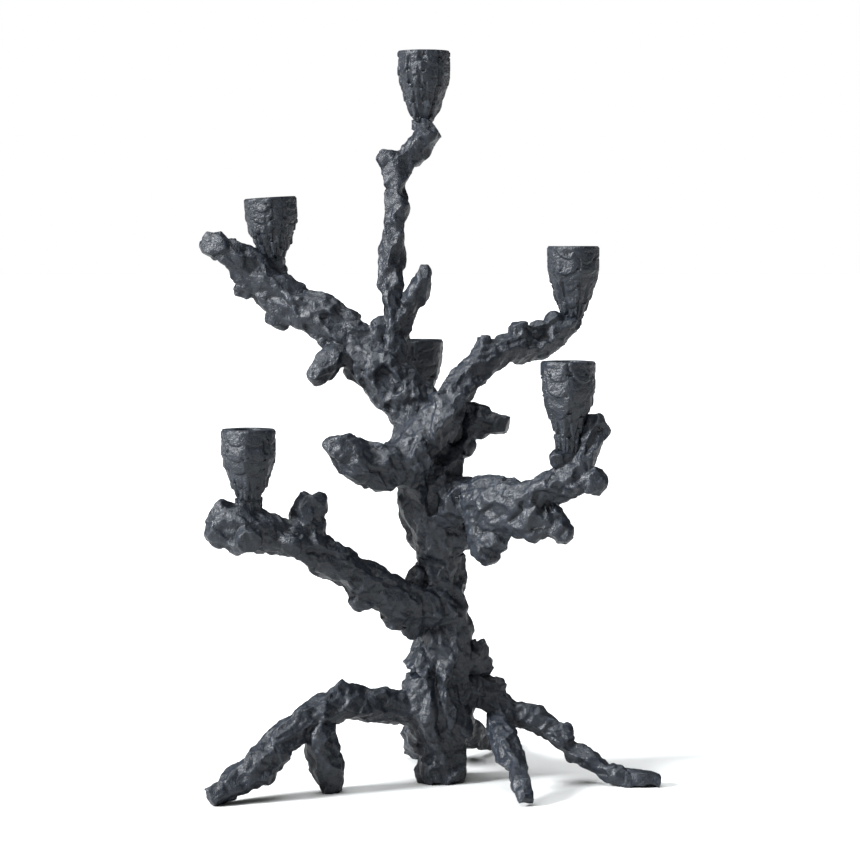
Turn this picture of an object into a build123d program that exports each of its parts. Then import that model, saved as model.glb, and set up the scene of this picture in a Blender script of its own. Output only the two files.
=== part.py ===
from build123d import *
import math
import os

# A free-standing candelabrum cast as a gnarled, leafless tree: arching roots carry a stump
# of a trunk, and its limbs end in six scaled cups for dinner candles. Millimetres, +Z up,
# the front is -Y, the origin is the centre of the trunk foot where it meets the table.

# Driving dimensions
candle_bore_radius = 11.25      # takes a standard 22 mm dinner candle
candle_bore_depth = 25.0
rim_radius = 20.4               # outside of a cup at its flat rim
cup_wall_radius = 19.0          # the cup's body behind its scales
scale_radius = 8.4              # one thumb-pressed scale on a cup
scale_thickness = 3.4
scales_in_a_row = 7
stud_radius = 3.0               # threaded rods that draw the castings together
stud_reach = 11.0               # how far a stud goes into each of its two castings
thin_stud_radius = 2.0
thin_stud_reach = 7.0
stud_clearance = 0.1
corners = 9                     # facets round a limb
unevenness = (1.0, 0.92, 1.07, 0.96, 1.05, 0.9, 1.06, 0.94, 1.03)

# Each path is a row of (x, y, z, radius) down the middle of a limb.
# A path is given from inside its parent casting; the seam is the station named beside it.
trunk_foot_path = [
    (2, 0, 0, 20), (1, 0, 9, 21), (0, 0, 24, 18), (-1, 0, 38, 22),
    (-1, 0, 54, 28), (-2, 0, 71, 30), (-3, 0, 88, 27),
]
trunk_lower_path = [
    (-3, 0, 88, 27), (1, 0, 103, 23.5), (3, 0, 123, 21), (2, 0, 143, 19),
    (0, 0, 163, 18.5), (0, 0, 183, 18.5),
]
trunk_crown_path = [
    (0, 0, 183, 18.5), (-3, -2, 200, 23), (-7, -6, 217, 26), (-8, -8, 237, 27),
    (-9, -9, 257, 27), (-9, -5, 279, 25.5), (-23, 0, 302, 22), (-40, 4, 320, 21), (-54, 7, 338, 21.5),
]
crown_ridge_path = [(-30, -22, 262, 19), (-9, -27, 283, 18), (3, -25, 301, 15.5), (13, -18, 317, 12.5)]

root_left_path = [
    (-9, -5, 63, 18), (-38, -14, 63, 14), (-49, -20, 65, 12.5), (-65, -28, 67, 13.5),
    (-79, -36, 71, 14.5), (-92, -44, 65, 13), (-105, -51, 58, 12.5), (-119, -58, 49, 12.5),
    (-132, -65, 38, 13), (-144, -73, 27, 14), (-157, -80, 18, 12), (-168, -86, 12, 9),
    (-179, -91, 5, 7.5),
]
root_left_front_path = [
    (-97, -50, 66, 9), (-95, -52, 52, 12), (-93, -49, 38, 13.5), (-91, -45, 22, 12.5),
    (-90, -42, 9, 10.5), (-89, -41, 0, 9),
]
root_right_path = [
    (10, 0, 74, 17), (34, 7, 73, 13), (46, 8, 64, 11.5), (60, 8, 54.5, 11),
    (80, 5, 47, 10), (96, 0, 37, 10.5), (108, -5, 26, 8.5), (125, -12, 15, 7.5),
    (140, -18, 8, 7), (155, -21, 5, 7), (173, -22, 5, 6.5),
]
root_right_front_path = [
    (49, 8, 56, 8), (46, -9, 46, 9.5), (49, -25, 38, 11), (54, -43, 30, 10.5),
    (60, -65, 21, 8), (63, -85, 11, 6.2), (65, -97, 3, 4.5),
]
root_back_path = [
    (6, 10, 55, 15), (12, 32, 44, 12.5), (18, 55, 34, 11), (28, 90, 20, 10.5),
    (39, 122, 11, 8.5), (48, 146, 4, 7),
]
root_back_left_path = [
    (-12, 10, 52, 14), (-16, 32, 43, 11.5), (-19, 55, 30, 9.5), (-22, 82, 14, 8.5), (-23, 98, 6, 7.5),
]

limb_lower_left_path = [
    (4, -5, 144, 18), (-31, -20, 148, 17), (-46, -29, 157, 16), (-65, -39, 169, 14.5),
    (-83, -48, 184, 15), (-103, -56, 198, 15), (-122, -63, 205, 14), (-139, -68, 209, 15.5),
    (-156, -71, 213, 19), (-171, -71, 214, 15),
]
limb_lower_right_path = [
    (-5, -10, 225, 22), (24, -33, 231, 17), (39, -48, 233, 18), (54, -60, 233, 18.5),
    (69, -70, 234, 16), (83, -78, 243, 13.5), (96, -82, 252, 12.5), (110, -84, 253, 11.5),
    (121, -85, 252, 8),
]
limb_upper_left_path = [
    (-54, 7, 338, 21.5), (-66, 9, 349, 20), (-80, 12, 361, 18.5), (-98, 17, 375, 17.5),
    (-120, 24, 386, 16.5), (-139, 29, 401, 17), (-156, 28, 414, 14.5), (-171, 24, 425, 11.5),
    (-184, 20, 433, 8.5), (-190, 19, 437, 6),
]
lower_right_belly_path = [
    (24, -36, 219, 13), (38, -50, 221, 14.5), (60, -64, 221, 15.5), (76, -73, 220, 16), (84, -77, 219, 14),
    (92, -81, 212, 7),
]
lower_right_wedge_path = [(56, -64, 230, 16), (74, -75, 230, 14), (85, -80, 231, 9)]
limb_upper_right_path = [
    (3, -25, 301, 16), (13, -18, 317, 13), (23, -8, 331, 12), (36, 3, 342, 12),
    (52, 13, 347, 12), (67, 21, 350, 13), (83, 29, 356, 12), (96, 34, 362, 9.5), (103, 37, 368, 8),
]
limb_back_path = [
    (-9, 4, 250, 17), (-11, 27, 259, 14), (-13, 50, 268, 12.5), (-15, 74, 278, 12), (-18, 94, 286, 11),
]
leader_path = [
    (-44, 4, 330, 14), (-36, 5, 360, 11), (-37, 7, 372, 10), (-39, 8, 385, 9), (-41, 10, 400, 10),
    (-39, 12, 414, 9.7), (-39, 14, 428, 10.8), (-37, 16, 445, 9.3), (-36, 18, 464, 9.1),
    (-37, 20, 481, 9.6), (-32, 22, 496, 10), (-21, 24, 509, 9), (-12, 27, 519, 9), (-5, 28, 525, 7),
]
stub_front_path = [
    (-16, -32, 268, 19), (-36, -40, 259, 18.5), (-48, -45, 257, 18), (-62, -50, 261, 17),
    (-74, -57, 272, 14), (-83, -61, 276, 10.5), (-89, -63, 276, 5),
]
stub_right_path = [(4, -4, 293, 19), (23, -6, 292, 15), (34, -7, 291, 11.5), (44, -9, 290, 8.5), (53, -11, 288, 6)]
stub_lower_left_path = [(-104, -56, 200, 13), (-104.5, -55, 214, 13.5), (-104, -54, 228, 13), (-101, -52, 238, 10)]
stub_lower_right_path = [
    (105, -83, 254, 10), (109, -82, 265, 9.5), (113, -80, 277, 9), (119, -78, 290, 10), (118, -76, 301, 8),
]
twig_upper_left_path = [(-80, 4, 350, 9), (-87, -3, 341, 10), (-94, -6, 333, 10), (-101, -8, 328, 8), (-105, -9, 325, 5)]
twig_leader_path = [(-36, 6, 366, 7), (-29, 5, 376, 7), (-24, 4, 386, 8.5), (-18.5, 3, 396, 8.5), (-14.5, 2, 406, 6), (-13, 2, 414, 3)]

# (x, y, z, radius) of the knots and burrs that stand on a casting
burrs = {
    "trunk_foot": [
        (20, 4, 78, 12), (-16, -9, 42, 9.5), (15, -9, 44, 10), (-12, -8, 26, 9),
        (5, -17, 64, 13), (-6, -13, 13, 9),
    ],
    "trunk_lower": [
        (25, 2, 97, 11), (31, 3, 107, 8), (35, 4, 94, 7), (17, -3, 125, 8), (-13, -8, 128, 9),
        (11, 4, 168, 9), (-12, -10, 100, 11), (0, -14, 150, 10), (-19, -12, 168, 9), (-22, -14, 127, 9),
    ],
    "trunk_crown": [
        (8, -14, 257, 11), (13, -10, 232, 13), (-24, -14, 232, 12), (-6, -24, 240, 14), (17, -8, 273, 10),
        (-10, -14, 210, 12), (16, -8, 201, 11), (-33, -10, 300, 13), (-52, -2, 322, 13), (-20, 12, 280, 17),
    ],
    "root_left": [(-78, -34, 79, 9), (-112, -58, 62, 8), (-143, -74, 36, 8), (-138, -70, 22, 10)],
    "root_right": [(44, 8, 75, 8), (91, 2, 46, 7)],
    "limb_lower_left": [
        (-62, -38, 155, 11), (-33, -24, 140, 14), (-166, -71, 214, 17),
        (-169, -70, 221, 13), (-150, -82, 209, 13), (-118, -72, 200, 10),
    ],
    "limb_lower_right": [
        (36, -47, 197, 14), (93, -80, 211, 8), (117, -85, 250, 10), (46, -55, 242, 11), (89, -84, 268, 7),
    ],
    "limb_upper_left": [
        (-158, 28, 398, 9), (-130, 24, 376, 11), (-96, 13, 382, 10), (-178, 22, 435, 7),
        (-112, 14, 378, 11), (-162, 24, 410, 9),
    ],
    "limb_upper_right": [(35, 2, 352, 8), (64, 20, 361, 11), (78, 27, 363, 8), (92, 33, 368, 9)],
    "leader": [(-44, 21, 501, 8.5), (-43, 20, 490, 6), (-33, 21, 470, 6), (-41, 12, 412, 8)],
    "root_back": [(14, 44, 44, 9), (32, 100, 20, 8)],
    "root_back_left": [(-24, 70, 24, 8)],
    "limb_back": [(-12, 60, 262, 9), (-16, 88, 278, 10)],
}

# name: rim centre (x, y, z), height down to the neck, lean to the left in degrees,
# wall radius at five heights between the rim's shoulder and the neck
cups = {
    "cup_top": ((-14, 28, 587), 54, 0, (19.0, 17.2, 14.6, 12.0, 7.5)),
    "cup_upper_left": ((-138, 31, 470), 47, 3.5, (18.6, 17.2, 15.0, 12.5, 9.0)),
    "cup_upper_right": ((107, 38, 431), 57, 0, (19.0, 16.4, 12.6, 10.0, 7.2)),
    "cup_lower_right": ((97, -80, 343), 68, 0, (18.6, 15.8, 11.6, 8.8, 7.6)),
    "cup_lower_left": ((-149.5, -70, 290), 53, 0, (19.4, 17.8, 14.4, 12.0, 9.0)),
    "cup_back": ((-19, 100, 353), 50, 0, (19.0, 17.2, 14.6, 12.0, 8.5)),
}


def headings(path):
    """The direction of travel at each station of a path."""
    points = [Vector(*station[:3]) for station in path]
    found = []
    for i in range(len(points)):
        before = points[max(i - 1, 0)]
        after = points[min(i + 1, len(points) - 1)]
        found.append((after - before).normalized())
    return found


def cross_sections(path):
    """One uneven many-sided section across the path at each station."""
    found = []
    across = None
    for i, (station, along) in enumerate(zip(path, headings(path))):
        if across is None:
            across = Vector(0, 0, 1) if abs(along.Y) > 0.7 else Vector(0, 1, 0)
        across = (across - along * across.dot(along)).normalized()
        outline = []
        for k in range(corners):
            reach = station[3] * unevenness[(2 * k + 4 * i) % corners] * 1.04
            turn = 2 * math.pi * k / corners
            outline.append((reach * math.cos(turn), reach * math.sin(turn)))
        plane = Plane(origin=station[:3], x_dir=across, z_dir=along)
        found.append(plane * make_face(Polyline(*outline, close=True)))
    return found


def limb(path, first, last):
    """The hewn solid between two stations of a path."""
    return loft(cross_sections(path)[first:last + 1], ruled=True)


def burr(x, y, z, radius):
    """A knot: a ball pinched a little flat on six sides."""
    ball = Sphere(radius) & Rot(20, 30, 10) * Box(1.62 * radius, 1.7 * radius, 1.76 * radius)
    return Pos(x, y, z) * ball


def joined(solid, piece):
    """Two solids as one. A piece whose skin lies too close along the other's is nudged."""
    for nudge in (0, 0.35, -0.45, 0.8, -0.9):
        try:
            both = solid + Pos(nudge, 0.6 * nudge, 0.8 * nudge) * piece
        except ValueError:
            continue
        if len(both.solids()) == 1 and solid.volume < both.volume < solid.volume + piece.volume:
            return both
    return solid


def trimmed(solid, tool):
    """A solid less a tool, or the solid as it was where the two only touch."""
    for nudge in (0, 0.02, -0.03, 0.05):
        try:
            left = solid - Pos(nudge, -nudge, 0.5 * nudge) * tool
        except ValueError:
            continue
        loss = solid.volume - left.volume
        if 0.01 < loss < min(tool.volume, 0.5 * solid.volume) + 0.01:
            return left
    return solid


def drilled_out(solid, holes):
    """A casting with all its stud holes, cut together."""
    if not holes:
        return solid
    left = solid - holes
    return left if left.volume > 0.5 * solid.volume else solid


def with_burrs(name, solid):
    """A casting with its knots."""
    for knot in burrs.get(name, []):
        solid = joined(solid, burr(*knot))
    return solid


def axis_place(centre, along):
    """A location whose Z runs along a direction."""
    return Plane(origin=tuple(centre), z_dir=along).location


def rod(centre, along, radius, reach):
    """A round bar centred on a seam."""
    return axis_place(centre, along) * Cylinder(radius, 2 * reach)


def seam(path, station):
    """The centre and direction of a path at one of its stations."""
    return Vector(*path[station][:3]), headings(path)[station]


def cup_place(name):
    """The location of a cup: Z along its bore, origin at its rim centre."""
    rim, height, lean, radii = cups[name]
    return Pos(*rim) * Rot(0, -lean, 0)


def neck_centre(name):
    """Where a cup stands on its limb, and the direction of its bore."""
    place = cup_place(name)
    height = cups[name][1]
    foot = (place * Pos(0, 0, -height)).position
    above = place.position
    return foot, (above - foot).normalized()


def collar_path(name, depth, spread):
    """The short neck of a limb under a cup, as a path that ends at the cup."""
    foot, along = neck_centre(name)
    radius = cups[name][3][4]
    low = foot - along * depth
    middle = foot - along * depth * 0.45
    return [
        (low.X, low.Y, low.Z, radius + spread),
        (middle.X, middle.Y, middle.Z, radius + 0.35 * spread),
        (foot.X, foot.Y, foot.Z, radius + 0.3),
    ]


def cup_scale(radius, height, tip, turn):
    """One overlapping scale, its lower edge standing off the wall."""
    disc = Rot(0, 90 + tip, 0) * Cylinder(scale_radius, scale_thickness)
    return Rot(0, 0, turn) * Pos(radius - 1.1, 0, height) * disc


def cup(name):
    """A candle cup: turned wall, overlapping scales, flat rim and a blind candle bore."""
    rim, height, lean, radii = cups[name]
    shoulder = -0.34 * height
    step = (height + shoulder) / 4.0
    profile = [(0, 0), (rim_radius, 0), (rim_radius - 0.2, -3.5), (cup_wall_radius, -6)]
    for i, radius in enumerate(radii):
        profile.append((radius, shoulder - i * step))
    profile.append((0, -height))
    body = revolve(Plane.XZ * make_face(Polyline(*profile, close=True)), Axis.Z)
    rows = (
        (cup_wall_radius, -11.0, -5, 0.0),
        (radii[1] - 1.0, shoulder - 0.9 * step, 14, 0.5),
        (radii[2] - 0.6, shoulder - 1.95 * step, 17, 0.0),
    )
    for radius, level, tip, shift in rows:
        for i in range(scales_in_a_row):
            turn = 12 + 360.0 * (i + shift) / scales_in_a_row
            body = body + cup_scale(radius, level, tip, turn)
    body = body & Pos(0, 0, -height / 2) * Cylinder(rim_radius + 0.8, height)
    bore = Pos(0, 0, -candle_bore_depth / 2) * Cylinder(candle_bore_radius, candle_bore_depth)
    return cup_place(name) * (body - bore)


def whole(solid):
    """The solid cut off level with the table, as one shape."""
    table = Pos(0, 0, -60) * Box(700, 700, 120)
    cut = solid - table
    pieces = cut.solids()
    return max(pieces, key=lambda piece: piece.volume)


# path, seam station, casting that carries it
limb_plan = {
    "root_left": (root_left_path, 1, "trunk_foot"),
    "root_left_front": (root_left_front_path, 1, "root_left"),
    "root_right": (root_right_path, 1, "trunk_foot"),
    "root_right_front": (root_right_front_path, 1, "root_right"),
    "root_back": (root_back_path, 1, "trunk_foot"),
    "root_back_left": (root_back_left_path, 1, "trunk_foot"),
    "limb_lower_left": (limb_lower_left_path, 1, "trunk_lower"),
    "limb_lower_right": (limb_lower_right_path, 1, "trunk_crown"),
    "limb_upper_left": (limb_upper_left_path, 0, "trunk_crown"),
    "limb_upper_right": (limb_upper_right_path, 1, "trunk_crown"),
    "limb_back": (limb_back_path, 1, "trunk_crown"),
    "leader": (leader_path, 1, "trunk_crown"),
    "stub_front": (stub_front_path, 1, "trunk_crown"),
    "stub_right": (stub_right_path, 1, "trunk_crown"),
    "stub_lower_left": (stub_lower_left_path, 1, "limb_lower_left"),
    "stub_lower_right": (stub_lower_right_path, 1, "limb_lower_right"),
    "twig_upper_left": (twig_upper_left_path, 1, "limb_upper_left"),
    "twig_leader": (twig_leader_path, 1, "leader"),
}

# cup: casting that carries it, depth of its collar, how much wider the collar starts
collar_plan = {
    "cup_top": ("leader", 8, 1.5),
    "cup_upper_left": ("limb_upper_left", 20, 3),
    "cup_upper_right": ("limb_upper_right", 7, 0.5),
    "cup_lower_right": ("limb_lower_right", 20, 3),
    "cup_lower_left": ("limb_lower_left", 20, 8),
    "cup_back": ("limb_back", 14, 2.5),
}

# lower casting, upper casting, height of the level seam between them
trunk_seams = [("trunk_foot", "trunk_lower", 88.0), ("trunk_lower", "trunk_crown", 183.0)]

thin_seams = ["twig_upper_left", "twig_leader", "root_right_front", "stub_lower_right"]


def raw_castings():
    """Every trunk, limb, root and stub casting before its stud holes are drilled."""
    made = {
        "trunk_foot": limb(trunk_foot_path, 0, len(trunk_foot_path) - 1),
        "trunk_lower": limb(trunk_lower_path, 0, len(trunk_lower_path) - 1),
        "trunk_crown": limb(trunk_crown_path, 0, len(trunk_crown_path) - 1),
    }
    made["trunk_crown"] = joined(made["trunk_crown"], limb(crown_ridge_path, 0, 3))
    for name, (path, station, parent) in limb_plan.items():
        made[name] = limb(path, station, len(path) - 1)
    for name, (path, station, parent) in limb_plan.items():
        if station > 0:
            made[parent] = joined(made[parent], limb(path, 0, station))
    for name, (parent, depth, spread) in collar_plan.items():
        path = collar_path(name, depth, spread)
        made[parent] = joined(made[parent], limb(path, 0, 2))
    for path in (lower_right_belly_path, lower_right_wedge_path):
        made["limb_lower_right"] = joined(made["limb_lower_right"], limb(path, 0, len(path) - 1))
    for name in made:
        made[name] = with_burrs(name, made[name])
    return made


def fitted_castings():
    """The castings trimmed back to their seams, so that none runs into another."""
    made = raw_castings()
    for name, (path, station, parent) in limb_plan.items():
        made[name] = trimmed(made[name], beyond(path, station))
    for name, (path, station, parent) in limb_plan.items():
        made[parent] = trimmed(made[parent], made[name])
    for name, (parent, depth, spread) in collar_plan.items():
        made[parent] = trimmed(made[parent], cup(name))
    made["stub_lower_right"] = trimmed(made["stub_lower_right"], cup("cup_lower_right"))
    for low, high, height in trunk_seams:
        made[low] = made[low] - Pos(0, 0, height + 100) * Box(70, 70, 200)
        made[high] = made[high] - Pos(0, 0, height - 100) * Box(400, 400, 200)
    return made



def beyond(path, station):
    """The space on the parent's side of a seam, near the seam."""
    centre, along = seam(path, station)
    radius = path[station][3]
    return axis_place(centre - along * radius, along) * Box(4 * radius, 4 * radius, 2 * radius)


def main():
    os.makedirs("parts", exist_ok=True)
    made = fitted_castings()
    for name in cups:
        made[name] = cup(name)

    studs = {"studs_trunk": [], "studs_roots": [], "studs_limbs": [], "studs_cups": []}
    drilled = []
    for name, (path, station, parent) in limb_plan.items():
        centre, along = seam(path, station)
        thin = name in thin_seams
        radius = thin_stud_radius if thin else stud_radius
        reach = thin_stud_reach if thin else stud_reach
        group = "studs_roots" if name.startswith("root") else "studs_limbs"
        studs[group].append(rod(centre, along, radius, reach))
        drilled.append((name, parent, rod(centre, along, radius + stud_clearance, reach)))
    for low, high, height in trunk_seams:
        centre = Vector(-1, 0, height)
        studs["studs_trunk"].append(rod(centre, Vector(0, 0, 1), 2 * stud_radius, 2 * stud_reach))
        drilled.append((low, high, rod(centre, Vector(0, 0, 1), 2 * stud_radius + stud_clearance, 2 * stud_reach)))
    for name, (parent, depth, spread) in collar_plan.items():
        centre, along = neck_centre(name)
        studs["studs_cups"].append(rod(centre, along, stud_radius, stud_reach))
        drilled.append((name, parent, rod(centre, along, stud_radius + stud_clearance, stud_reach)))

        if name == "cup_lower_right":
            drilled.append(("stub_lower_right", parent, drilled[-1][2]))

    for name in made:
        holes = [hole for first, second, hole in drilled if name in (first, second)]
        made[name] = drilled_out(made[name], holes)
    for name, solid in made.items():
        made[name] = whole(solid)
    for name, solid in made.items():
        export_step(solid, f"parts/{name}.step")
    for name, rods in studs.items():
        export_step(Compound(children=rods), f"parts/{name}.step")


main()
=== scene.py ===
import bpy
import math
import numpy as np
from mathutils import Vector, Matrix, noise
from mathutils.bvhtree import BVHTree
from mathutils.kdtree import KDTree


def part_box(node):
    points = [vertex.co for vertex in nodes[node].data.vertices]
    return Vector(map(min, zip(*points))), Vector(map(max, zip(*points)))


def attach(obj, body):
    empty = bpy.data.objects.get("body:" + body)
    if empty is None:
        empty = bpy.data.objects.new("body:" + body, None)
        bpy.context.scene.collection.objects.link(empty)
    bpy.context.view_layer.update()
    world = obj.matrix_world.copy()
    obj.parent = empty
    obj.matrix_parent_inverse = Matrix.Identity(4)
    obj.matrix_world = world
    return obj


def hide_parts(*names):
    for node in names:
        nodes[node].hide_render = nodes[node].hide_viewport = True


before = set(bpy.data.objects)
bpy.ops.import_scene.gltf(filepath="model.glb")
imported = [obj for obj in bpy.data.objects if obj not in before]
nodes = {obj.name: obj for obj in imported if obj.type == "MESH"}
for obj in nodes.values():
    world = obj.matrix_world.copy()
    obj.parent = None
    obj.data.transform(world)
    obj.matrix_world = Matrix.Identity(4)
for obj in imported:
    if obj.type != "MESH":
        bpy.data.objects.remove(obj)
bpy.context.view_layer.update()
MM = 0.001
FULL_TURN = 2 * math.pi

# every cast node, the cups among them: the studs stay as they are
CASTINGS = [name for name in sorted(nodes) if not name.startswith("studs_")]

# ---------- sizes of the tree ----------

# edge of a voxel of the wax skin, in mm
SKIN_VOXEL = 1.15

# (x, y, z, radius, stretch, lean in degrees), lengths in mm: dabs of wax pressed on before casting
DABS = [
    (-50, 6, 362, 9, 1.6, 40), (-16, -30, 246, 13, 1.5, 10), (35, -53, 191, 8, 1.0, 0),
    (44, -58, 203, 10, 1.2, 20), (30, -48, 205, 10, 1.3, -20), (-12, 20, 522, 9, 1.0, 0),
    (104, 33, 366, 8, 1.3, 30),
]

# first end, last end, radius and depth in mm: strokes of the thumb down the front, negative ones
# press in
STROKES = [
    ((-5, -22, 98), (0, -22, 48), 6.5, -6.0),
    ((11, -24, 78), (12, -24, 64), 12.0, -5.0),
    ((29, -16, 72), (23, -16, 41), 5.0, 3.0),
    ((111, -88, 276), (122, -88, 289), 6.5, -5.0),
    ((90, -88, 245), (71, -88, 213), 8.0, -5.0),
    ((22, -35, 298), (-2, -35, 258), 8.5, -5.5),
    ((14, -45, 312), (-24, -45, 264), 6.5, 3.5),
    ((-46, -15, 330), (-36, -15, 320), 7.5, -6.0),
    ((-9, -30, 250), (-7, -30, 222), 6.0, -6.0),
    ((-93, -10, 376), (-62, -10, 352), 5.0, -4.0),
    ((-120, -60, 190), (-70, -40, 160), 5.0, -3.5),
    ((60, 0, 360), (86, 15, 358), 4.5, -3.0),
    ((-60, -40, 262), (-38, -40, 250), 6.0, -4.0),
    ((40, -60, 224), (62, -75, 232), 5.5, -3.5),
]
STROKE_REACH = 0.026    # how far behind or before its line a stroke still works, in metres
STROKE_WAVER = 1.5      # how far a stroke's edge wavers, in mm

# size of the lumps in metres, seed, height in mm
SWELLINGS = ((0.016, 2, 1.6), (0.007, 3, 0.4))
THUMB_MARKS = ((0.0032, 6, 0.32), (0.0065, 8, 0.45))
SHRINKAGE = 0.2         # taken off all over with the swellings, in mm
CREASE_DEPTH = 1.5      # at the edge of a broad pad, in mm

# pads pressed over the skin, lengths in metres: the spacing, how long a pad is along its casting,
# its tilt, how far it is set in or out, the most a point moves, the width of its crease
BROAD_PADS = dict(spacing=0.0135, stretch=1.9, tilt=0.22, step=0.0009, limit=0.0028,
                  edge=0.0006, amount=0.9, seed=5)
SMALL_PADS = dict(spacing=0.0060, stretch=1.7, tilt=0.25, step=0.00035, limit=0.0011,
                  edge=0.0004, amount=0.8, seed=9)
PADS_IN_REACH = 9

# ---------- sizes of the cups ----------

# rim centre (mm), height, lean to the left in degrees, wall radius at five heights from the
# shoulder down
CUPS = {
    "cup_top": ((-14, 28, 587), 54, 0, (19.6, 17.8, 15.0, 12.3, 7.8)),
    "cup_upper_left": ((-138, 31, 470), 47, 3.5, (19.2, 17.6, 15.2, 12.6, 9.2)),
    "cup_upper_right": ((107, 38, 431), 57, 0, (19.6, 17.2, 14.0, 11.4, 8.5)),
    "cup_lower_right": ((97, -80, 343), 68, 0, (19.4, 17.0, 12.8, 9.8, 8.1)),
    "cup_lower_left": ((-149.5, -70, 290), 53, 0, (20.2, 18.2, 14.8, 12.2, 9.2)),
    "cup_back": ((-19, 100, 353), 50, 0, (19.6, 17.6, 15.0, 12.3, 8.8)),
}
RIM = 20.4
BORE = 11.25
BORE_DEPTH = 25.0
CUP_STEPS = 210         # faces round a cup
FIRST_CUP_SEED = 11
PANELS = 8              # flat upright panels round a cup
SCALE_ROWS = 6
PANEL_REACH = 1.0       # how far round a panel reaches from its middle, in radians
SET_BACK = -1.5         # the wall between the scales, in mm from the panel
RING_TIGHT, RING_TALL = 2.2, 7.0    # broad unevenness of a cup
FINE_TIGHT, FINE_TALL = 7.0, 2.6    # fine unevenness of a cup


# ---------- mesh helpers ----------

def new_object(name, verts, faces):
    mesh = bpy.data.meshes.new(name)
    mesh.from_pydata([tuple(v) for v in verts], [], [tuple(f) for f in faces])
    mesh.update()
    made = bpy.data.objects.new(name, mesh)
    bpy.context.scene.collection.objects.link(made)
    return made


def select_only(*objects):
    bpy.ops.object.select_all(action="DESELECT")
    for each in objects:
        each.select_set(True)
    bpy.context.view_layer.objects.active = objects[0]


def coords(mesh):
    flat = np.empty(len(mesh.vertices) * 3, np.float64)
    mesh.vertices.foreach_get("co", flat)
    return flat.reshape(-1, 3)


def set_coords(mesh, points):
    mesh.vertices.foreach_set("co", points.astype(np.float32).ravel())
    mesh.update()


def normals(mesh):
    flat = np.empty(len(mesh.vertices) * 3, np.float32)
    mesh.vertex_normals.foreach_get("vector", flat)
    return flat.reshape(-1, 3).astype(np.float64)


def edges_of(mesh):
    flat = np.empty(len(mesh.edges) * 2, np.int32)
    mesh.edges.foreach_get("vertices", flat)
    return flat.reshape(-1, 2)


def shade_smooth(mesh):
    mesh.polygons.foreach_set("use_smooth", [True] * len(mesh.polygons))


def relaxed(values, edges, rounds, share=0.5):
    """Values at the vertices, each drawn towards the mean of its neighbours."""
    count = np.bincount(edges.ravel(), minlength=len(values)).astype(float)
    shaped = values.reshape(len(values), -1).copy()
    for _ in range(rounds):
        total = np.zeros_like(shaped)
        for column in range(shaped.shape[1]):
            for here, there in ((0, 1), (1, 0)):
                drawn = shaped[edges[:, there], column]
                total[:, column] += np.bincount(edges[:, here], drawn, len(values))
        shaped += share * (total / count[:, None] - shaped)
    return shaped.reshape(values.shape)


def relaxed_normals(normal, edges, rounds):
    """Unit normals evened out over their neighbours."""
    soft = relaxed(normal, edges, rounds)
    return soft / (np.linalg.norm(soft, axis=1)[:, None] + 1e-9)


def smooth_step(low, high, x):
    t = np.clip((x - low) / (high - low), 0, 1)
    return t * t * (3 - 2 * t)


# ---------- the tree: one wax skin over the castings ----------

def copy_of(name):
    made = bpy.data.objects.new("wax_" + name, nodes[name].data.copy())
    bpy.context.scene.collection.objects.link(made)
    return made


def dab(spec):
    x, y, z, radius, stretch, lean = spec
    bpy.ops.mesh.primitive_ico_sphere_add(subdivisions=3, radius=radius * MM, location=(0, 0, 0))
    made = bpy.context.object
    bend = Matrix.Rotation(math.radians(lean), 4, "Y") @ Matrix.Diagonal((1, 1, stretch, 1))
    made.data.transform(Matrix.Translation((x * MM, y * MM, z * MM)) @ bend)
    return made


def wax_skin(voxel):
    """The castings and dabs run together as one skin."""
    parts = [copy_of(name) for name in CASTINGS] + [dab(spec) for spec in DABS]
    select_only(*parts)
    bpy.ops.object.join()
    skin = bpy.context.object
    skin.name = "wax"
    bpy.ops.object.mode_set(mode="EDIT")
    bpy.ops.mesh.select_all(action="SELECT")
    bpy.ops.mesh.remove_doubles(threshold=0.000002)
    bpy.ops.object.mode_set(mode="OBJECT")
    skin.data.remesh_voxel_size = voxel * MM
    skin.data.remesh_voxel_adaptivity = 0
    bpy.ops.object.voxel_remesh()
    return skin


def nearest_casting(points):
    """For each point, the index of the casting it lies on."""
    margin = 0.006
    reach = 0.02
    best = np.full(len(points), 1e9)
    label = np.zeros(len(points), int)
    for index, name in enumerate(CASTINGS):
        low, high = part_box(name)
        low = np.array(low) - margin
        high = np.array(high) + margin
        inside = np.nonzero(np.all((points > low) & (points < high), axis=1))[0]
        tree = BVHTree.FromObject(nodes[name], bpy.context.evaluated_depsgraph_get())
        for i in inside:
            hit = tree.find_nearest(Vector(points[i]), reach)
            if hit[0] is not None and hit[3] < best[i]:
                best[i] = hit[3]
                label[i] = index
    return label


def seeds_on(points, spacing, order):
    """Vertices picked over the skin, none nearer to another than the spacing."""
    cells = {}
    picked = []
    keys = np.floor(points / spacing).astype(int)
    steps = [(a, b, c) for a in (-1, 0, 1) for b in (-1, 0, 1) for c in (-1, 0, 1)]

    def crowded(i, cell):
        for step in steps:
            beside = (cell[0] + step[0], cell[1] + step[1], cell[2] + step[2])
            for j in cells.get(beside, ()):
                away = points[i] - points[j]
                if away @ away < spacing * spacing:
                    return True
        return False

    for i in order:
        cell = tuple(keys[i])
        if not crowded(i, cell):
            cells.setdefault(cell, []).append(i)
            picked.append(i)
    return np.array(picked)


def nearest_seeds(points, centres):
    """For each point, the indices of the pads around it."""
    tree = KDTree(len(centres))
    for i, centre in enumerate(centres):
        tree.insert(centre, i)
    tree.balance()
    index = np.zeros((len(points), PADS_IN_REACH), int)
    for i, point in enumerate(points):
        index[i] = [found[1] for found in tree.find_n(point, PADS_IN_REACH)]
    return index


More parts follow.
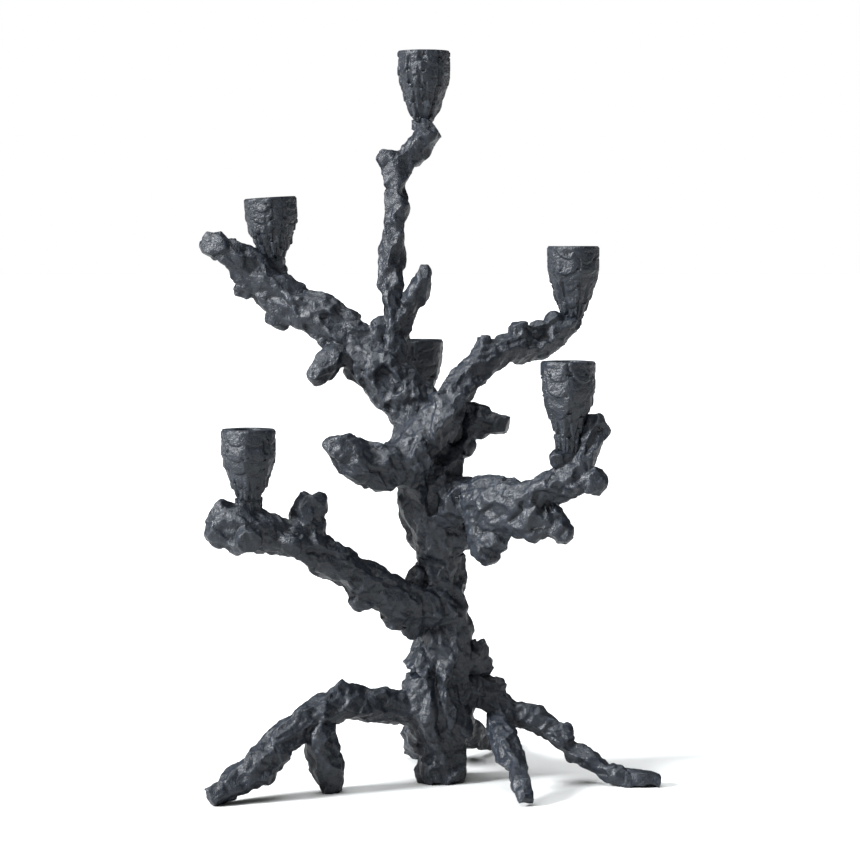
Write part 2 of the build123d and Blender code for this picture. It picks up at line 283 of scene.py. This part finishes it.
def press_pads(points, facing, along, spacing, stretch, tilt, step, limit, edge, amount, seed):
    """The skin pressed flat pad by pad, each pad tilted and set in or out a little.
    Returns the new points and how near each one lies to the edge of its pad."""
    maker = np.random.default_rng(seed)
    picked = seeds_on(points, spacing, maker.permutation(len(points)))
    centres = points[picked]
    flat = facing[picked] + maker.normal(0, tilt, (len(picked), 3))
    flat /= np.linalg.norm(flat, axis=1)[:, None]
    lift = maker.normal(-0.12 * step, step, len(picked))
    axis = along[picked]
    index = nearest_seeds(points, centres)

    # distance to each pad, shorter along its casting and longer where the skin faces away
    away = points[:, None, :] - centres[index]
    run = np.einsum("ijk,ijk->ij", away, axis[index])
    long = 1 - 1 / (stretch * stretch)
    reach = np.sqrt(np.maximum(np.einsum("ijk,ijk->ij", away, away) - long * run * run, 0))
    agreeing = np.einsum("ik,ijk->ij", facing, flat[index])
    reach = reach + spacing * 0.8 * np.clip(0.6 - agreeing, 0, 2)

    weight = np.exp(-(reach - reach.min(axis=1)[:, None]) / edge)
    weight /= weight.sum(axis=1)[:, None]
    height = lift[index] - np.einsum("ijk,ijk->ij", away, flat[index])
    height = np.clip(height, -limit, limit)
    move = np.einsum("ij,ij,ijk->ik", weight, height, flat[index])
    ordered = np.sort(reach, axis=1)
    border = np.exp(-(ordered[:, 1] - ordered[:, 0]) / (1.6 * edge))
    return points + amount * move, border


def lumpy(points, size, seed):
    """Smooth unevenness between -1 and 1, of a given size in metres."""
    offset = Vector((seed * 3.7, seed * 1.3, seed * 7.1))
    return np.array([noise.noise(Vector(p) / size + offset) for p in points])


def uneven(points, lumps):
    """Lumps of several sizes added up, in mm."""
    return sum(lumpy(points, size, seed) * height for size, seed, height in lumps)


def stroked(points, facing):
    """The skin with the deliberate strokes pressed into or laid along its front."""
    front = smooth_step(0.0, 0.5, -facing[:, 1])
    for first, last, radius, depth in STROKES:
        first = np.array(first) * MM
        run = np.array(last) * MM - first
        share = np.clip((points - first) @ run / (run @ run), 0, 1)
        away = points - first - share[:, None] * run
        away = away + facing * (lumpy(points, 0.009, 12) * STROKE_WAVER * MM)[:, None]
        far = np.sqrt(away[:, 0] ** 2 + away[:, 2] ** 2) / (radius * MM)
        near = np.abs(away[:, 1]) < STROKE_REACH
        push = depth * MM * (1 - smooth_step(0.25, 1.0, far)) * front * near
        points = points + facing * push[:, None]
    return points


def casting_axes(points, label):
    """For each point, the direction in which its casting is longest."""
    axes = np.zeros((len(CASTINGS), 3))
    for index in range(len(CASTINGS)):
        mine = points[label == index]
        if len(mine) > 10:
            centred = mine - mine.mean(axis=0)
            axes[index] = np.linalg.svd(centred.T @ centred)[0][:, 0]
    return axes[label]


def modelled_skin():
    """The wax skin, worked from the big swellings down to the thumb marks, and the casting of
    each of its points."""
    skin = wax_skin(SKIN_VOXEL)
    mesh = skin.data
    points = coords(mesh)
    edges = edges_of(mesh)
    label = nearest_casting(points)
    points = relaxed(points, edges, 3)
    set_coords(mesh, points)
    facing = normals(mesh)
    along = casting_axes(points, label)

    soft = relaxed_normals(facing, edges, 4)
    swell = uneven(points, SWELLINGS) - SHRINKAGE
    points = points + facing * (swell * MM)[:, None]
    points = stroked(points, soft)
    points, crease = press_pads(points, soft, along, **BROAD_PADS)
    set_coords(mesh, points)
    facing = relaxed_normals(normals(mesh), edges, 1)
    points, _ = press_pads(points, facing, along, **SMALL_PADS)
    set_coords(mesh, points)
    facing = normals(mesh)
    groove = np.clip(crease * (lumpy(points, 0.02, 4) * 1.6 + 0.3), 0, 1) * CREASE_DEPTH
    fine = uneven(points, THUMB_MARKS)
    points = points + facing * ((fine - groove) * MM)[:, None]
    points[:, 2] = np.maximum(points[:, 2], 0.0)
    set_coords(mesh, points)
    return skin, label


def parted_pieces(skin, label):
    """The skin parted at the seams of the castings. Simple open loops get a flat cap; where loops
    touch each other the cap fails, so several parts stay open at hidden seams."""
    mesh = skin.data
    points = coords(mesh)
    count = np.empty(len(mesh.polygons), np.int32)
    mesh.polygons.foreach_get("loop_total", count)
    corner = np.empty(len(mesh.loops), np.int32)
    mesh.loops.foreach_get("vertex_index", corner)
    start = np.concatenate([[0], np.cumsum(count)[:-1]])
    face_label = label[corner[start]]
    made = {}
    for index, name in enumerate(CASTINGS):
        mine = np.nonzero(face_label == index)[0]
        if len(mine) < 20 or name in CUPS:
            continue
        faces = [corner[start[f]:start[f] + count[f]] for f in mine]
        used, flat = np.unique(np.concatenate(faces), return_inverse=True)
        split = np.cumsum([len(f) for f in faces])[:-1]
        piece = new_object("cast_" + name, points[used], np.split(flat, split))
        select_only(piece)
        bpy.ops.object.mode_set(mode="EDIT")
        bpy.ops.mesh.select_all(action="DESELECT")
        bpy.ops.mesh.select_mode(type="EDGE")
        bpy.ops.mesh.select_non_manifold(extend=False, use_wire=False, use_boundary=True,
                                         use_multi_face=False, use_non_contiguous=False,
                                         use_verts=False)
        bpy.ops.mesh.mark_sharp()
        bpy.ops.mesh.select_all(action="SELECT")
        bpy.ops.mesh.fill_holes(sides=0)
        bpy.ops.mesh.select_all(action="SELECT")
        bpy.ops.mesh.normals_make_consistent(inside=False)
        bpy.ops.object.mode_set(mode="OBJECT")
        shade_smooth(piece.data)
        made[name] = piece
    bpy.data.objects.remove(skin)
    return made


# ---------- the candle cups ----------

def cup_wall(turn, z, radius, height, maker):
    """The radius of a cup's outside, in mm: flat upright panels of stacked scales with rounded
    lower edges."""
    wall = np.full(turn.shape, 1e9)
    for k in range(PANELS):
        middle = FULL_TURN * (k + 0.5) / PANELS - math.pi / 2 + maker.normal(0, 0.07)
        gap = (turn - middle + math.pi) % FULL_TURN - math.pi
        near = np.abs(gap) < PANEL_REACH
        gap = np.clip(gap, -PANEL_REACH, PANEL_REACH)
        side = radius * np.tan(gap)
        stand = np.full(turn.shape, SET_BACK)
        low = 0.0
        slant = maker.normal(0, 0.05)
        for _ in range(SCALE_ROWS):
            length = height * maker.uniform(0.17, 0.26)
            low = low - length
            across = side + maker.normal(0, 1.2)
            wide = radius * math.pi / PANELS * maker.uniform(1.3, 1.8)
            up = (z - low) / (1.25 * length)
            half = wide * np.sqrt(np.clip(up * 2.0, 0, 1))
            inside = half - np.abs(across)
            thick = maker.uniform(1.7, 2.8) * (1 - 0.75 * np.clip(up, 0, 1))
            tilt = maker.normal(0, 0.45) * across / wide
            scale = (thick + tilt) * smooth_step(-0.05, 0.4, inside)
            here = np.where((up > 0) & (up < 1.05), scale, SET_BACK)
            stand = np.where(inside > 0, np.maximum(stand, here), stand)
        flat = radius * (0.955 + maker.normal(0, 0.008)) + stand + slant * side
        wall = np.where(near, np.minimum(wall, flat / np.cos(gap)), wall)
    return wall


def spun(name, profile):
    """A closed body spun from its profile, a row of (radius, height) in mm that starts and ends
    on the axis."""
    bpy.ops.object.select_all(action="DESELECT")
    bpy.ops.mesh.primitive_plane_add(size=MM, location=(0, 0, 0))
    made = bpy.context.object
    made.name = name
    bpy.ops.object.mode_set(mode="EDIT")
    bpy.ops.mesh.select_mode(type="VERT")
    bpy.ops.mesh.select_all(action="SELECT")
    bpy.ops.mesh.merge(type="CENTER")
    bpy.ops.transform.translate(value=(profile[0][0] * MM, 0, profile[0][1] * MM))
    for here, there in zip(profile, profile[1:]):
        step = ((there[0] - here[0]) * MM, 0, (there[1] - here[1]) * MM)
        bpy.ops.mesh.extrude_vertices_move(TRANSFORM_OT_translate={"value": step})
    bpy.ops.mesh.select_all(action="SELECT")
    bpy.ops.mesh.spin(steps=CUP_STEPS, angle=FULL_TURN, center=(0, 0, 0), axis=(0, 0, 1))
    bpy.ops.mesh.select_all(action="SELECT")
    bpy.ops.mesh.remove_doubles(threshold=0.000004)
    bpy.ops.mesh.normals_make_consistent(inside=False)
    bpy.ops.object.mode_set(mode="OBJECT")
    return made


def ringed_noise(turn, z, tight, tall, seed):
    """Smooth unevenness round and down a cup, between -1 and 1."""
    across = tight * np.cos(turn) + seed
    along = tight * np.sin(turn)
    return np.array([noise.noise(Vector(spot)) for spot in zip(across, along, z / tall)])


def cup_profile(height, radii):
    """The cup's section: down the bore from the axis, over the lip, down the wall to the foot,
    which runs 3 mm on into the branch."""
    shoulder = -0.34 * height
    step = (height + shoulder) / 4.0
    knots_z = [0, -2.2, -5, 0.6 * shoulder] + [shoulder - i * step for i in range(5)]
    knots_r = [RIM - 0.1, RIM - 0.2, 19.7, 19.8] + list(radii)
    bore = [(0, -BORE_DEPTH), (6.0, -BORE_DEPTH), (BORE - 0.4, -BORE_DEPTH)]
    bore += [(BORE, 0.2 - BORE_DEPTH)] + [(BORE, -z) for z in (20, 16, 12, 8, 4, 0.8)]
    lip = [(BORE + 0.15, -0.25), (BORE + 0.7, 0.0), (14.0, 0.0), (17.0, 0.0), (RIM - 1.2, 0.0)]
    heights = np.append(np.arange(0, -height, -0.5), -height)
    outer = list(zip(np.interp(-heights, -np.array(knots_z), knots_r), heights))
    foot = [(0.97 * radii[4], -height - 1.2), (0.85 * radii[4], -height - 3.0), (0, -height - 3.0)]
    return bore + lip + outer + foot


def turned_cup(name, seed):
    """A cup spun from its section, its outside then worked into panels of scales."""
    rim, height, lean, radii = CUPS[name]
    maker = np.random.default_rng(seed)
    cup = spun(name.replace("cup", "candle_cup"), cup_profile(height, radii))

    mesh = cup.data
    points = coords(mesh) / MM
    radius = np.hypot(points[:, 0], points[:, 1])
    turn = np.arctan2(points[:, 1], points[:, 0]) % FULL_TURN
    z = points[:, 2]
    outside = (radius > BORE + 0.5) | ((z < -BORE_DEPTH - 0.1) & (radius > 0.1))
    wall = radius.copy()
    wall[outside] = cup_wall(turn[outside], z[outside], radius[outside], height, maker)
    wall = relaxed(wall, edges_of(mesh), 2)
    wobble = ringed_noise(turn, z, RING_TIGHT, RING_TALL, seed)
    fine = ringed_noise(turn, z, FINE_TIGHT, FINE_TALL, seed)
    fade = smooth_step(0.2, 2.2, -z)
    worked = wall + 0.7 * wobble + 0.2 * fine
    shaped = (1 - fade) * (radius + 0.35 * wobble) + fade * worked
    share = np.where(outside, np.minimum(shaped, RIM + 0.9) / np.maximum(radius, 0.1), 1.0)
    points[:, 0] *= share
    points[:, 1] *= share
    dip = 0.14 * np.abs(ringed_noise(turn, 0 * z, RING_TIGHT, RING_TALL, seed))
    points[:, 2] -= np.where(z > -0.05, dip, 0)
    set_coords(mesh, points * MM)
    stand_up = Matrix.Translation(Vector(rim) * MM) @ Matrix.Rotation(math.radians(-lean), 4, "Y")
    mesh.transform(stand_up)
    shade_smooth(mesh)
    mesh.set_sharp_from_angle(angle=math.radians(50))
    return cup


# ---------- materials ----------

class Wire:
    """A number on its way through a material, so that shader maths reads as sums."""

    def __init__(self, paint, socket):
        self.paint = paint
        self.socket = socket

    def __add__(self, other):
        return self.paint.maths("ADD", self, other)

    def __sub__(self, other):
        return self.paint.maths("SUBTRACT", self, other)

    def __mul__(self, other):
        return self.paint.maths("MULTIPLY", self, other)

    def __radd__(self, other):
        return self.paint.maths("ADD", other, self)

    def __rsub__(self, other):
        return self.paint.maths("SUBTRACT", other, self)

    def __rmul__(self, other):
        return self.paint.maths("MULTIPLY", other, self)

    def between(self, low, high):
        """0 at the low value, 1 at the high one, and smooth from one to the other."""
        ends = {"Value": self, "From Min": low, "From Max": high}
        return self.paint.node("ShaderNodeMapRange", {"interpolation_type": "SMOOTHSTEP"}, ends)


class Paint:
    """The nodes of a material or of the room."""

    def __init__(self, owner):
        owner.use_nodes = True
        self.tree = owner.node_tree

    def give(self, socket, value):
        if isinstance(value, Wire):
            self.tree.links.new(value.socket, socket)
        else:
            socket.default_value = value

    def node(self, kind, settings, sockets, out=0):
        """A new node: its settings first, then the values or links of its sockets."""
        made = self.tree.nodes.new(kind)
        for key, value in settings.items():
            setattr(made, key, value)
        for key, value in sockets.items():
            self.give(made.inputs[key], value)
        return Wire(self, made.outputs[out])

    def maths(self, kind, first, second):
        return self.node("ShaderNodeMath", {"operation": kind}, {0: first, 1: second})

    def blend(self, share, first, second):
        return self.node("ShaderNodeMix", {"data_type": "RGBA"}, {0: share, 6: first, 7: second}, 2)

    def noise(self, place, **sockets):
        return self.node("ShaderNodeTexNoise", {}, {"Vector": place, **sockets})

    def finish(self, sockets):
        """Values and links for the surface itself."""
        for key, value in sockets.items():
            self.give(self.tree.nodes["Principled BSDF"].inputs[key], value)


def colour(r, g, b):
    return (r, g, b, 1.0)


def dark_coating():
    """Blue-black patina on cast metal: satin, stippled, a little lighter on the ridges as rubbed
    wear and painted highlight, with painted warm glints and painted shade in the hollows.
    """
    material = bpy.data.materials.new("blue_black_patina")
    paint = Paint(material)
    place = paint.node("ShaderNodeTexCoord", {}, {}, "Object")
    cloud = paint.noise(place, Scale=45.0, Detail=4.0, Roughness=0.6)
    blotch = paint.noise(place, Scale=240.0, Detail=3.0, Roughness=0.65)
    grain = paint.noise(place, Scale=950.0, Detail=2.0, Roughness=0.6)
    stipple = paint.noise(place, Scale=430.0, Detail=3.0, Roughness=0.55, Distortion=0.6)
    pits = paint.node("ShaderNodeTexVoronoi", {"feature": "F1"}, {"Vector": place, "Scale": 620.0})
    bulge = paint.node("ShaderNodeNewGeometry", {}, {}, "Pointiness")

    ridge = bulge.between(0.50, 0.60)
    hollow = 1.0 - bulge.between(0.40, 0.50)
    # lighter on the ridges and stipple tops: partly rubbed wear, partly a painted highlight
    rub_and_highlight = ridge * blotch.between(0.35, 0.65) * 0.5
    rub_and_highlight = rub_and_highlight + stipple.between(0.50, 0.72) * cloud.between(0.42, 0.62) * 0.30
    # painted highlight: small warm glints painted into the colour
    painted_glints = grain.between(0.70, 0.82) * 0.22
    shade = hollow * 0.8 + stipple.between(0.50, 0.34) * 0.35
    deep_blue = colour(0.0044, 0.0062, 0.0096)
    slate_blue = colour(0.0092, 0.0124, 0.0188)
    base = paint.blend(blotch.between(0.3, 0.7), deep_blue, slate_blue)
    worn_and_lit = paint.blend(rub_and_highlight, base, colour(0.031, 0.038, 0.053))
    with_painted_glints = paint.blend(painted_glints, worn_and_lit, colour(0.12, 0.108, 0.098))
    dark = paint.blend(shade, with_painted_glints, colour(0.004, 0.005, 0.007))

    gloss = cloud.between(0.3, 0.7) * 0.10 + grain.between(0.3, 0.7) * 0.12 + 0.33
    relief = grain * 0.18 + stipple * 1.0 + blotch * 0.9 - pits.between(0.5, 0.0) * 0.30
    bump = {"Strength": 0.85, "Distance": 0.00075, "Height": relief}
    paint.finish({"Base Color": dark, "Metallic": 0.0, "IOR": 1.40, "Roughness": gloss,
                  "Normal": paint.node("ShaderNodeBump", {}, bump)})
    return material


def stud_steel():
    """Plain steel rod with fine turning marks."""
    material = bpy.data.materials.new("turned_steel")
    paint = Paint(material)
    place = paint.node("ShaderNodeTexCoord", {}, {}, "Object")
    marks = paint.noise(place, Scale=900.0, Detail=2.0)
    dull, bright = colour(0.42, 0.42, 0.43), colour(0.56, 0.56, 0.57)
    paint.finish({"Base Color": paint.blend(marks.between(0.3, 0.7), dull, bright),
                  "Metallic": 1.0, "Roughness": marks * 0.2 + 0.25})
    return material


def studio_paper():
    """Pale matt paper with a faint tooth."""
    material = bpy.data.materials.new("studio_paper")
    paint = Paint(material)
    place = paint.node("ShaderNodeTexCoord", {}, {}, "Object")
    tooth = paint.noise(place, Scale=30.0, Detail=2.0)
    shadow, light = colour(0.55, 0.55, 0.54), colour(0.57, 0.57, 0.56)
    paint.finish({"Base Color": paint.blend(tooth, shadow, light), "Roughness": 0.9})
    return material


# ---------- making ----------

pieces = parted_pieces(*modelled_skin())
for seed, name in enumerate(CUPS, FIRST_CUP_SEED):
    pieces[name] = turned_cup(name, seed)

coating = dark_coating()
for name, piece in pieces.items():
    piece.data.materials.append(coating)
    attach(piece, "root")
    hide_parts(name)

steel = stud_steel()
for name in nodes:
    if name.startswith("studs_"):
        nodes[name].data.materials.clear()
        nodes[name].data.materials.append(steel)

# ---------- studio ----------

FLOOR_SIZE = 60
WHITE = colour(1.0, 1.0, 1.0)
DAYLIGHT = (0.95, 0.975, 1.0)
ROOM_GLOW = 0.13        # light that reaches the piece from all round
CAMERA_PLACE = (-0.009, -2.100, 0.4363)
CAMERA_DOWN = 4.14      # degrees below level
LENS, SENSOR = 110.2, 36

bpy.ops.mesh.primitive_plane_add(size=FLOOR_SIZE, location=(0, 0, 0))
floor = bpy.context.object
floor.name = "studio_floor"
floor.data.materials.append(studio_paper())


def sun(name, towards, strength, spread):
    """A broad soft light that falls evenly from one direction."""
    data = bpy.data.lights.new(name, "SUN")
    data.energy = strength
    data.angle = math.radians(spread)
    data.color = DAYLIGHT
    made = bpy.data.objects.new(name, data)
    bpy.context.scene.collection.objects.link(made)
    made.rotation_euler = Vector(towards).to_track_quat("-Z", "Y").to_euler()


def white_room():
    """White all round behind the paper, with only a dim even glow on the piece."""
    world = bpy.data.worlds.new("studio")
    bpy.context.scene.world = world
    room = Paint(world)
    glow = room.node("ShaderNodeBackground", {}, {"Color": WHITE, "Strength": ROOM_GLOW})
    wall = room.node("ShaderNodeBackground", {}, {"Color": WHITE, "Strength": 1.0})
    behind = room.node("ShaderNodeLightPath", {}, {}, "Is Camera Ray")
    light = room.node("ShaderNodeMixShader", {}, {0: behind, 1: glow, 2: wall})
    room.give(room.tree.nodes["World Output"].inputs["Surface"], light)
    room.tree.nodes.remove(room.tree.nodes["Background"])


sun("key", (0.79, 0.38, -0.42), 10.4, 14)
sun("overhead", (0.15, 0.10, -1.0), 5.2, 60)
white_room()

lens = bpy.data.cameras.new("camera")
camera = bpy.data.objects.new("camera", lens)
bpy.context.scene.collection.objects.link(camera)
lens.sensor_width = SENSOR
lens.lens = LENS
lens.clip_start = 0.05
lens.clip_end = 50
camera.location = CAMERA_PLACE
camera.rotation_euler = (math.radians(90 - CAMERA_DOWN), 0, 0)
bpy.context.scene.camera = camera
bpy.context.scene.view_settings.view_transform = "Standard"
